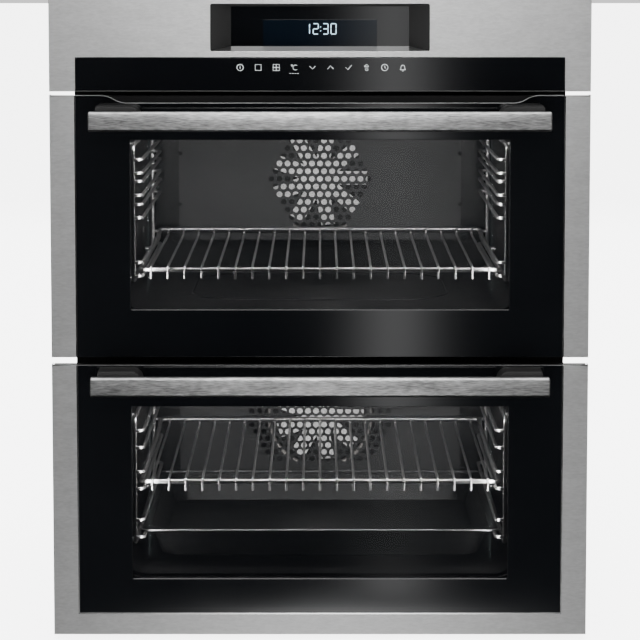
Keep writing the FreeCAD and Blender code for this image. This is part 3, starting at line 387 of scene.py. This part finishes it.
def flat_plate(name, outlines, front, thick, edge, material):
    """A plate with holes: flat outlines filled between two faces, with a small round edge."""
    curve = bpy.data.curves.new(name, "CURVE")
    curve.dimensions = "2D"
    curve.fill_mode = "BOTH"
    curve.extrude = thick / 2 - edge
    curve.bevel_depth = edge
    curve.bevel_resolution = 2
    curve.offset = -edge
    for outline in outlines:
        line = curve.splines.new("POLY")
        line.points.add(len(outline) - 1)
        flat = np.column_stack([outline, np.zeros(len(outline)), np.ones(len(outline))])
        line.points.foreach_set("co", flat.ravel())
        line.use_cyclic_u = True
    holder = bpy.data.objects.new(name, curve)
    mesh = bpy.data.meshes.new_from_object(holder)
    bpy.data.objects.remove(holder)
    count = len(mesh.vertices)
    flat = np.empty(count * 3)
    mesh.vertices.foreach_get("co", flat)
    flat = flat.reshape(-1, 3)
    turned = np.stack([flat[:, 0], front + thick / 2 - flat[:, 2], flat[:, 1]], 1)
    mesh.vertices.foreach_set("co", turned.ravel())
    mesh.materials.clear()
    return link(name, mesh, material, False)


def soften(piece, angle=40):
    """Smooth shading that keeps the sharp corners."""
    mesh = piece.data
    mesh.shade_smooth()
    mesh.set_sharp_from_angle(angle=math.radians(angle))
    return piece


def strokes(name, lines, width, face, material):
    """Flat ribbons on a face: each line of points in x and z gets the same width, with square ends."""
    grids = []
    for line, closed in lines:
        line = np.array(line, float)
        if closed:
            ahead, behind = np.roll(line, -1, 0), np.roll(line, 1, 0)
        else:
            ahead = np.vstack([line[1:], line[-1:]])
            behind = np.vstack([line[:1], line[:-1]])
        along = ahead - behind
        along /= np.linalg.norm(along, axis=1, keepdims=True)
        side = np.stack([-along[:, 1], along[:, 0]], 1) * width / 2
        edges = np.stack([line + side, line - side], 0)
        points = np.stack([edges[:, :, 0], face + 0 * edges[:, :, 0], edges[:, :, 1]], 2)
        grids.append((points, False, closed))
    return joined(name, grids, material, False)


def keep(piece, body, slot, *nodes):
    """Ride on a body and stand for CAD nodes. The slot argument is not used."""
    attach(piece, body)
    if nodes:
        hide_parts(*nodes)
    return piece


# The studio

def aimed_light(name, place, target, width, height, watts):
    light = bpy.data.lights.new(name, "AREA")
    light.shape = "RECTANGLE"
    light.size, light.size_y = width, height
    light.energy = watts
    lamp = bpy.data.objects.new(name, light)
    lamp.location = place
    lamp.rotation_mode = "QUATERNION"
    lamp.rotation_quaternion = (Vector(target) - Vector(place)).to_track_quat("-Z", "Y")
    lamp.visible_camera = False
    bpy.context.scene.collection.objects.link(lamp)
    return lamp


def studio():
    """A wide pale floor, a room that is pale but dark to reflections, and soft lights."""
    rows = np.linspace(-40, 40, 3)
    x, y = np.meshgrid(rows, rows, indexing="ij")
    pale = Finish("pale floor", grey(0.86), 0.7)
    pale.shade(**{"Base Color": pale.blend(pale.noise((2, 2, 2), 3), grey(0.85), grey(0.88)),
                  "Emission Color": (1, 1, 1, 1), "Emission Strength": 5.0})
    floor = grid_piece("floor", np.stack([x, y, 0 * x - 0.0002], 2), pale.material)
    floor.visible_glossy = False

    world = bpy.data.worlds.new("room")
    bpy.context.scene.world = world
    world.use_nodes = True
    tree = world.node_tree
    seen = tree.nodes.new("ShaderNodeLightPath")
    tone = tree.nodes.new("ShaderNodeMix")
    tone.data_type = "RGBA"
    tone.inputs[6].default_value = (1.0, 1.0, 1.0, 1)
    tone.inputs[7].default_value = (0.022, 0.022, 0.022, 1)
    tree.links.new(seen.outputs["Is Glossy Ray"], tone.inputs[0])
    tree.links.new(tone.outputs[2], tree.nodes["Background"].inputs["Color"])

    middle = (0, FRONT_Y, TOP_Z / 2)
    aimed_light("front softbox", (0, -3.0, 1.7), middle, 0.55, 1.2, 44)
    aimed_light("overhead", (0, -0.6, 4.2), (0, -0.6, 0), 6, 5, 300)
    aimed_light("left fill", (-4.2, -2.6, 1.9), middle, 1.8, 2.4, 14)
    aimed_light("right fill", (4.2, -2.6, 1.9), middle, 1.8, 2.4, 14)
    aimed_light("rear fill", (0, 4.2, 2.2), middle, 3.5, 2.4, 80)


def glow_strip(name, centre, half, z0, z1, narrow, strength):
    """A soft upright strip that only reflections show: its glow falls off sideways as a bell curve."""
    x, z = np.meshgrid(np.linspace(centre - half, centre + half, 3), np.linspace(z0, z1, 3), indexing="ij")
    glow = Finish(name, grey(0), 1.0)
    spot = glow.node("ShaderNodeSeparateXYZ", {}, {"Vector": glow.place()})
    off = (spot - centre) * narrow
    bell = glow.node("ShaderNodeMath", {"operation": "EXPONENT"}, {0: off * off * -1.0})
    glow.shade(**{"Emission Color": glow.blend(bell, grey(0.0), grey(1.0)), "Emission Strength": strength,
                  "Specular IOR Level": 0.0})
    strip = grid_piece(name, np.stack([x, 0 * x - 3.4, z], 2), glow.material)
    strip.visible_camera = False
    strip.visible_diffuse = False
    strip.visible_shadow = False


def camera():
    """The main view: far off, a little above the oven's top, tilted down slightly."""
    data = bpy.data.cameras.new("camera")
    data.lens = 148.9
    data.sensor_width = 36
    data.shift_y = -0.17
    data.clip_end = 100
    view = bpy.data.objects.new("camera", data)
    view.location = (0, FRONT_Y - 2.9, TOP_Z + 0.046)
    view.rotation_euler = (math.radians(90 - 5.5), 0, 0)
    bpy.context.scene.collection.objects.link(view)
    bpy.context.scene.camera = view


studio()
glow_strip("reflection strip", 0.17, 0.6, -0.72, 0.92, 10.5, 2.0)
glow_strip("low glow", 0.05, 0.9, -1.5, -0.76, 3.6, 8.0)
glow_strip("left glow", -2.7, 1.6, -2.6, 0.6, 0.9, 0.9)
glow_strip("right glow", 2.7, 1.6, -2.6, 0.6, 0.9, 0.9)
camera()


# Fascia

def fascia():
    """The steel front with its display opening, its legs beside the touch strip and its returns."""
    low, high = FASCIA_LOW.z, FASCIA_HIGH.z
    strip_top = TOUCH_HIGH.z + GAP
    half, inner = FRONT_HALF, TRIM_INNER
    outer = np.array([(-half, low), (-inner, low), (-inner, strip_top), (inner, strip_top), (inner, low),
                      (half, low), (half, high), (-half, high)])
    bezel_low, bezel_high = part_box("display_bezel")
    hole = round_rect(bezel_high.x - DISPLAY_LAP, bezel_low.z + DISPLAY_LAP, bezel_high.z - DISPLAY_LAP,
                      CLOCK_CORNER, 5)
    skin = soften(flat_plate("fascia_face", [outer, hole], FRONT_Y, FRONT_SHEET, 0.35 * MM, STEEL), 30)
    keep(skin, ROOT, "brushed_steel", "fascia")
    depth = FASCIA_HIGH.y - FRONT_Y
    line = np.array([(half, low), (half, high), (-half, high), (-half, low)])
    steps = np.array([0.5 * MM, depth])
    points = np.stack([np.stack([line[:, 0], FRONT_Y + y + 0 * line[:, 0], line[:, 1]], 1)
                       for y in steps], 0)
    keep(grid_piece("fascia_sides", points, STEEL), ROOT, "brushed_steel")


fascia()


# Touch strip and clock

def arc(cx, cz, radius, start, stop, steps=20):
    """Points along a circle, angles in degrees, anticlockwise from the right."""
    angle = np.radians(np.linspace(start, stop, steps))
    return np.stack([cx + radius * np.cos(angle), cz + radius * np.sin(angle)], 1)


def ring(cx, cz, radius, steps=28):
    return arc(cx, cz, radius, 0, 360, steps + 1)[:-1], True


def box_line(cx, cz, half):
    return np.array([(cx - half, cz - half), (cx + half, cz - half), (cx + half, cz + half),
                     (cx - half, cz + half)]), True


def symbol_lines():
    """The ten touch symbols: each entry draws one round its own middle, in millimetres."""
    chevron = [(-3.2, -1.6), (0, 1.8), (3.2, -1.6)]
    bell = [(-3, -2.4), (-2.2, -1.4), (-2.1, 0.6), (-1.4, 2.1), (0, 2.7), (1.4, 2.1), (2.1, 0.6),
            (2.2, -1.4), (3, -2.4), (-3, -2.4)]
    lamp = [(-2.6, 1.2), (2.6, 1.2), (0, 3.4), (-2.6, 1.2)]
    dashes = [([(x, -6.6), (x + 1.6, -6.6)], False) for x in (-5.2, -2.4, 0.4, 3.2)]
    return [
        [ring(0, 0, 3.5), ([(0, -1.5), (0, 1.0)], False), ([(0, 1.5), (0, 2.0)], False)],
        [box_line(0, 0, 3.2)],
        [box_line(0, 0, 3.4), ([(0, -3.4), (0, 3.4)], False), ([(-3.4, 0), (3.4, 0)], False)],
        [ring(-2.6, 2.2, 0.8, 12), (arc(1.2, 0, 2.7, 50, 310), False)] + dashes,
        [([(x, -z) for x, z in chevron], False)],
        [(chevron, False)],
        [([(-3.2, 0.2), (-0.8, -2.4), (3.4, 2.6)], False)],
        [(lamp, False), (arc(0, -1.8, 1.5, 180, 360, 10), False), ([(-1.5, -0.6), (1.5, -0.6)], False)],
        [ring(0, 0, 3.5), ([(0, 2.0), (0, 0), (1.4, -0.8)], False)],
        [(bell, False), (arc(0, -2.9, 0.9, 200, 340, 6), False)],
    ]


def touch_strip():
    """The black glass strip: round upper corners, square lower ones, ten symbols and a ground edge."""
    low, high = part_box("touch_glass")
    rounded = round_rect(high.x, low.z, high.z, STRIP_CORNER, 6)
    outline = np.vstack([[(high.x, low.z)], rounded[6:18], [(-high.x, low.z)]])
    glass = soften(flat_plate("touch_strip_glass", [outline], low.y, GLASS, GLASS_ROUND, PRINT), 30)
    keep(glass, ROOT, "black_glass", "touch_glass")
    middle = low.z + SYMBOL_UP
    lines = []
    for place, symbol in enumerate(symbol_lines()):
        x = (place - 4.5) * SYMBOL_PITCH + 1.6 * MM
        for line, closed in symbol:
            lines.append((np.array(line) * MM + (x, middle), closed))
    marks = strokes("touch_symbols", lines, SYMBOL_LINE, low.y - 0.08 * MM, SYMBOL)
    keep(marks, ROOT, "black_glass")
    edge = strokes("touch_strip_edge", [([(-high.x, low.z + 0.5 * MM), (high.x, low.z + 0.5 * MM)], False)],
                   LINE_WIDTH, low.y - LINE_OUT, STRIP_EDGE)
    keep(edge, ROOT, "black_glass")


SEGMENTS = {"0": "abcdef", "1": "bc", "2": "abged", "3": "abgcd"}


def segment_line(letter, x, z, half, tall, gap):
    """One bar of a seven-segment figure, between two corners of its cell."""
    left, right, top, low = x - half, x + half, z + tall, z - tall
    ends = {"a": ((left, top), (right, top)), "b": ((right, top), (right, z)),
            "c": ((right, z), (right, low)), "d": ((left, low), (right, low)),
            "e": ((left, z), (left, low)), "f": ((left, top), (left, z)),
            "g": ((left, z), (right, z))}[letter]
    ends = np.array(ends)
    along = (ends[1] - ends[0]) / np.linalg.norm(ends[1] - ends[0])
    return [ends[0] + along * gap, ends[1] - along * gap]


def clock():
    """The recessed clock: sloping metal walls, inner black glass, a smoky window and lit figures."""
    low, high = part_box("display_bezel")
    half, z0, z1 = high.x - DISPLAY_LAP, low.z + DISPLAY_LAP, high.z - DISPLAY_LAP
    depth = high.y - FRONT_Y
    mouth = round_rect(half, z0, z1, CLOCK_CORNER, 5)
    throat = round_rect(half - CLOCK_SIDE_SLOPE, z0 + CLOCK_LOW_SLOPE, z1 - CLOCK_TOP_SLOPE, 1 * MM, 5)
    share = np.array([0, 0.02, 0.98, 1.0])[:, None, None]
    flat = mouth[None] * (1 - share) + throat[None] * share
    y = FRONT_Y + GAP + share[:, :, 0] * depth + 0 * flat[:, :, 0]
    walls = grid_piece("clock_walls", np.stack([flat[:, :, 0], y, flat[:, :, 1]], 2), BEZEL,
                       False, False, True)
    keep(walls, ROOT, "black_plastic")
    glass_low, glass_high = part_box("display_glass")
    face = glass_low.y
    panel = flat_plate("clock_glass", [round_rect(glass_high.x, glass_low.z, glass_high.z, 1 * MM, 4)],
                       face, DISPLAY_GLASS, 0.2 * MM, PRINT)
    keep(panel, ROOT, "black_glass", "display_glass")
    window = round_rect(62.6 * MM, z0 + CLOCK_LOW_SLOPE, z0 + 34 * MM, 0.6 * MM, 4)
    shown = flat_plate("clock_window", [window], face - 0.3 * MM, 0.4 * MM, 0.1 * MM, DISPLAY_WINDOW)
    keep(shown, ROOT, "black_glass")
    lines = []
    middle = z0 + CLOCK_FIGURE_UP
    for figure, x in zip("1230", (-14.3, -4.7, 6.1, 14.9)):
        for letter in SEGMENTS[figure]:
            lines.append((segment_line(letter, x * MM, middle, 2.8 * MM, 5.7 * MM, 0.45 * MM), False))
    for up in (-2.2, 2.2):
        lines.append(([(0.7 * MM, middle + (up - 0.5) * MM), (0.7 * MM, middle + (up + 0.5) * MM)], False))
    keep(strokes("clock_figures", lines, 0.85 * MM, face - 0.45 * MM, DIGIT), ROOT, "black_glass")
    ledge = np.array([[(x, FRONT_Y + 0.6 * MM + share * (depth - 1 * MM), z0 + 0.2 * MM + share * 4.6 * MM)
                       for x in (-half + CLOCK_SIDE_SLOPE * share, half - CLOCK_SIDE_SLOPE * share)]
                      for share in (0.0, 1.0)])
    keep(grid_piece("clock_ledge", ledge, LEDGE), ROOT, "brushed_steel")


# Doors

def dip_outline(half, low, high):
    """The upper glass's outline: its top edge sinks in two tangent arcs to a long low middle."""
    run, drop = DIP_RUN, DIP_DROP
    start = TRIM_INNER - DIP_END_IN
    radius = (run ** 2 + drop ** 2) / (4 * drop)
    turn = math.asin(run / 2 / radius)
    first = np.linspace(0, turn, 8)
    bend_x = np.concatenate([start - radius * np.sin(first),
                             start - run + radius * np.sin(first[::-1][1:])])
    bend_z = np.concatenate([high - radius * (1 - np.cos(first)),
                             high - drop + radius * (1 - np.cos(first[::-1][1:]))])
    right = np.vstack([[(half, low), (half, high)], np.stack([bend_x, bend_z], 1)])
    left = right[::-1] * (-1, 1)
    return np.vstack([right, left])


def door_glass(name, window_low, window_high, dips):
    """The outer glass: a black printed border round a tinted window, with a ground edge."""
    low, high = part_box(name + "_outer_glass")
    body = name + "_door"
    if dips:
        outline = dip_outline(high.x, low.z, high.z)
    else:
        outline = np.array([(high.x, low.z), (high.x, high.z), (-high.x, high.z), (-high.x, low.z)])
    window = round_rect(WINDOW_HALF, window_low, window_high, 1.5 * MM, 5)
    border = flat_plate(name + "_glass_border", [outline, window], low.y, GLASS, GLASS_ROUND, PRINT)
    soften(border, 30)
    keep(border, body, "black_glass", name + "_outer_glass")
    fit = 0.02 * MM
    inside = round_rect(WINDOW_HALF - fit, window_low + fit, window_high - fit, 1.5 * MM, 5)
    clear = flat_plate(name + "_glass_window", [inside], low.y + 0.3 * MM, 3.4 * MM, 0.05 * MM, WINDOW)
    keep(clear, body, "black_glass")
    rim = outline[1:-1]
    edge = strokes(name + "_glass_edge", [(rim - (0, 0.45 * MM), False)], LINE_WIDTH, low.y - LINE_OUT,
                   GLASS_EDGE)
    keep(edge, body, "black_glass")


def bar_handle(name):
    """A flat bar: its cross-section, with two bevels and round corners, is carried along X.

    Near each end the section shrinks toward its middle along a quarter circle, so the end is round.
    """
    low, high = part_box(name + "_handle")
    depth, tall = high.y - low.y, high.z - low.z
    bevel = HANDLE_BEVEL
    corner = 0.5 * MM
    cut = 0.35 * MM
    outline = [(0, -tall / 2 + bevel), (0, tall / 2 - bevel), (bevel, tall / 2), (depth - corner, tall / 2),
               (depth, tall / 2 - corner), (depth, -tall / 2 + corner), (depth - corner, -tall / 2),
               (bevel, -tall / 2)]
    section = []
    for before, point, after in zip(outline[-1:] + outline, outline, outline[1:] + outline[:1]):
        b, p, a = (np.array(q, float) for q in (before, point, after))
        first = p + (b - p) / np.linalg.norm(b - p) * cut
        last = p + (a - p) / np.linalg.norm(a - p) * cut
        section += [first, 0.25 * first + 0.5 * p + 0.25 * last, last]
    section = np.array(section)
    middle = np.array([depth / 2, 0])
    round_end = 1.6 * MM
    turn = np.linspace(0, math.pi / 2, 6)
    x_in = round_end * (1 - np.sin(turn))
    shrink = 1 - round_end * (1 - np.cos(turn)) / (depth / 2)
    stations = [(-high.x, 0.0)] + [(-high.x + i, k) for i, k in zip(x_in[::-1], shrink[::-1])]
    stations += [(high.x - i, k) for i, k in zip(x_in, shrink)] + [(high.x, 0.0)]
    rows = []
    for x, k in stations:
        loop = middle + (section - middle) * k
        rows.append(np.stack([x + 0 * loop[:, 0], low.y + loop[:, 0], (low.z + high.z) / 2 + loop[:, 1]], 1))
    bar = grid_piece(name + "_handle_bar", np.array(rows)[::-1], HANDLE_STEEL, True, False, True)
    bar.data.set_sharp_from_angle(angle=math.radians(35))
    keep(bar, name + "_door", "brushed_steel", name + "_handle")


def side_wall(name, body, side, low, high):
    """The outer return of a steel strip, facing outward."""
    outer = side * (FRONT_HALF - 0.05 * MM)
    wall = np.array([[(outer, low.y + 0.6 * MM, z), (outer, high.y, z)] for z in (low.z, high.z)])
    keep(grid_piece(name, wall if side > 0 else wall[::-1], STEEL), body, "brushed_steel")


def door_steel():
    """Upper side strips and the lower U, each with a painted highlight along its inner edge: a pale glossy
    ribbon where the rounded edge catches light.
    """
    for side in (-1, 1):
        low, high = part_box("upper_door_trims")
        x0, x1 = sorted((side * TRIM_INNER, side * FRONT_HALF))
        face = np.array([(x0, low.z), (x1, low.z), (x1, high.z), (x0, high.z)])
        name = "upper_strip_" + ("left" if side < 0 else "right")
        strip = soften(flat_plate(name, [face], low.y, TRIM_SHEET, SHEET_EDGE, STEEL), 30)
        keep(strip, "upper_door", "brushed_steel", "upper_door_trims")
        inner = side * (TRIM_INNER + 0.7 * MM)
        # Painted highlight: a pale ribbon along the inner and top edge, where the rounded edge catches
        # light.
        line = [(inner, low.z), (inner, high.z - 0.7 * MM), (side * FRONT_HALF, high.z - 0.7 * MM)]
        painted_highlight = strokes(name + "_edge", [(line, False)], EDGE_HIGHLIGHT_WIDTH, low.y - EDGE_HIGHLIGHT_OUT, PAINTED_EDGE_HIGHLIGHT)
        keep(painted_highlight, "upper_door", "brushed_steel")
        side_wall(name + "_side", "upper_door", side, low, high)
    low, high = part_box("lower_door_trim")
    strip_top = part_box("lower_outer_glass")[0].z - GAP
    half, inner = FRONT_HALF, TRIM_INNER
    face = np.array([(-half, low.z), (half, low.z), (half, high.z), (inner, high.z), (inner, strip_top),
                     (-inner, strip_top), (-inner, high.z), (-half, high.z)])
    frame_u = soften(flat_plate("lower_u_frame", [face], low.y, TRIM_SHEET, SHEET_EDGE, STEEL), 30)
    keep(frame_u, "lower_door", "brushed_steel", "lower_door_trim")
    # Painted highlight along the lower U's inner edge.
    edge = 0.7 * MM
    line = [(-half, high.z - edge), (-inner - edge, high.z - edge), (-inner - edge, strip_top - edge),
            (inner + edge, strip_top - edge), (inner + edge, high.z - edge), (half, high.z - edge)]
    painted_highlight = strokes("lower_u_edge_highlight", [(line, False)], EDGE_HIGHLIGHT_WIDTH, low.y - EDGE_HIGHLIGHT_OUT, PAINTED_EDGE_HIGHLIGHT)
    keep(painted_highlight, "lower_door", "brushed_steel")
    for side in (-1, 1):
        name = "lower_u_side_" + ("left" if side < 0 else "right")
        side_wall(name, "lower_door", side, low, high)


def cavity_light(name):
    """Hidden soft lights in one cavity: one under its ceiling, one up each side, one in the fan cover."""
    low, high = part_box(name + "_door_seal")
    y = low.y + 2 * MM
    middle = (low.z + high.z) / 2
    aimed_light(name + " top light", (0, y, high.z - 14 * MM), (0, y + 0.3, high.z - 0.16), 0.40, 0.014, 1.6)
    for side in (-1, 1):
        aimed_light(name + " side light", (side * 0.196, y, middle), (-side * 0.1, y + 0.4, middle), 0.012,
                    high.z - low.z - 0.06, 0.3)
    cover_low, cover_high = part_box(name + "_fan_cover")
    y = cover_low.y + 3 * MM
    fan_z = (cover_low.z + cover_high.z) / 2
    aimed_light(name + " fan light", (0, y, fan_z), (0, y + 1, fan_z), 0.12, 0.12, 0.07)


# Small things inside the cavities

def tube(name, route, radius, material, closed=False, steps=10):
    """A round rod: a circle carried along a route, square to its direction at every point."""
    route = np.array(route, float)
    if closed:
        along = np.roll(route, -1, 0) - np.roll(route, 1, 0)
    else:
        along = np.gradient(route, axis=0)
    along /= np.linalg.norm(along, axis=1, keepdims=True)
    up = np.array([0.0, 0.0, 1.0]) if np.ptp(route[:, 2]) < 1e-6 else np.array([0.0, 1.0, 0.0])
    side = np.cross(along, up)
    turn = np.linspace(0, 2 * math.pi, steps, endpoint=False)[None, :, None]
    points = route[:, None] + radius * (np.cos(turn) * side[:, None] + np.sin(turn) * up)
    return grid_piece(name, points, material, True, closed, True)


def cavity_fittings(name):
    """Fixings at the fan cover's edges, two plugs in the back wall and a ridge round the floor."""
    low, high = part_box(name + "_fan_cover")
    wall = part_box(name + "_cavity")[1].y - 1.2 * MM
    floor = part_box(name + "_cavity")[0].z + 12 * MM
    for side in (-1, 1):
        mark = name + ("_left" if side < 0 else "_right")
        for number, z in enumerate((high.z - 45 * MM, low.z + 45 * MM)):
            spot = arc(side * (high.x - 1.5 * MM), z, 1.6 * MM, 0, 360, 17)[:-1]
            ring_points = np.column_stack([spot[:, 0], low.y - 0.3 * MM + 0 * spot[:, 0], spot[:, 1]])
            keep(tube(mark + "_fixing_%d" % number, ring_points, 0.8 * MM, BLACK, True), ROOT, "dark_enamel")
        spot = arc(side * 183 * MM, floor + 38 * MM, 4.6 * MM, 0, 360, 25)[:-1]
        plug = np.column_stack([spot[:, 0], wall - 0.2 * MM + 0 * spot[:, 0], spot[:, 1]])
        keep(tube(mark + "_wall_plug", plug, 0.7 * MM, COVER, True), ROOT, "dark_enamel")
    outline = round_rect(150 * MM, low.y - 0.29, low.y - 0.03, 70 * MM, 10)
    ridge = np.column_stack([outline, floor - 0.1 * MM + 0 * outline[:, 0]])
    keep(tube(name + "_floor_ridge", ridge, 1.3 * MM, ENAMEL, True), ROOT, "dark_enamel")


def tray_rim():
    """A rolled rim: a rod round the tray's edge, on a rectangle with round corners. Its pale grey is a
    painted highlight on the dark enamel rim.
    """
    low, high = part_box("baking_tray")
    roll = 1.3 * MM
    outline = round_rect(high.x - roll, low.y + roll, high.y - roll, 13 * MM, 8)
    route = np.column_stack([outline, high.z - 0.2 * MM + 0 * outline[:, 0]])
    keep(tube("tray_rolled_rim", route, roll, TRAY_RIM_HIGHLIGHT, True), "baking_tray", "dark_enamel")


touch_strip()
clock()
tray_rim()
upper_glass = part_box("upper_outer_glass")
lower_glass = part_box("lower_outer_glass")
door_glass("upper", upper_glass[1].z - 237.1 * MM, upper_glass[1].z - 49.3 * MM, True)
door_glass("lower", lower_glass[1].z - 240.9 * MM, lower_glass[1].z - 46.7 * MM, False)
door_steel()
for oven in ("upper", "lower"):
    bar_handle(oven)
    cavity_light(oven)
    cavity_fittings(oven)
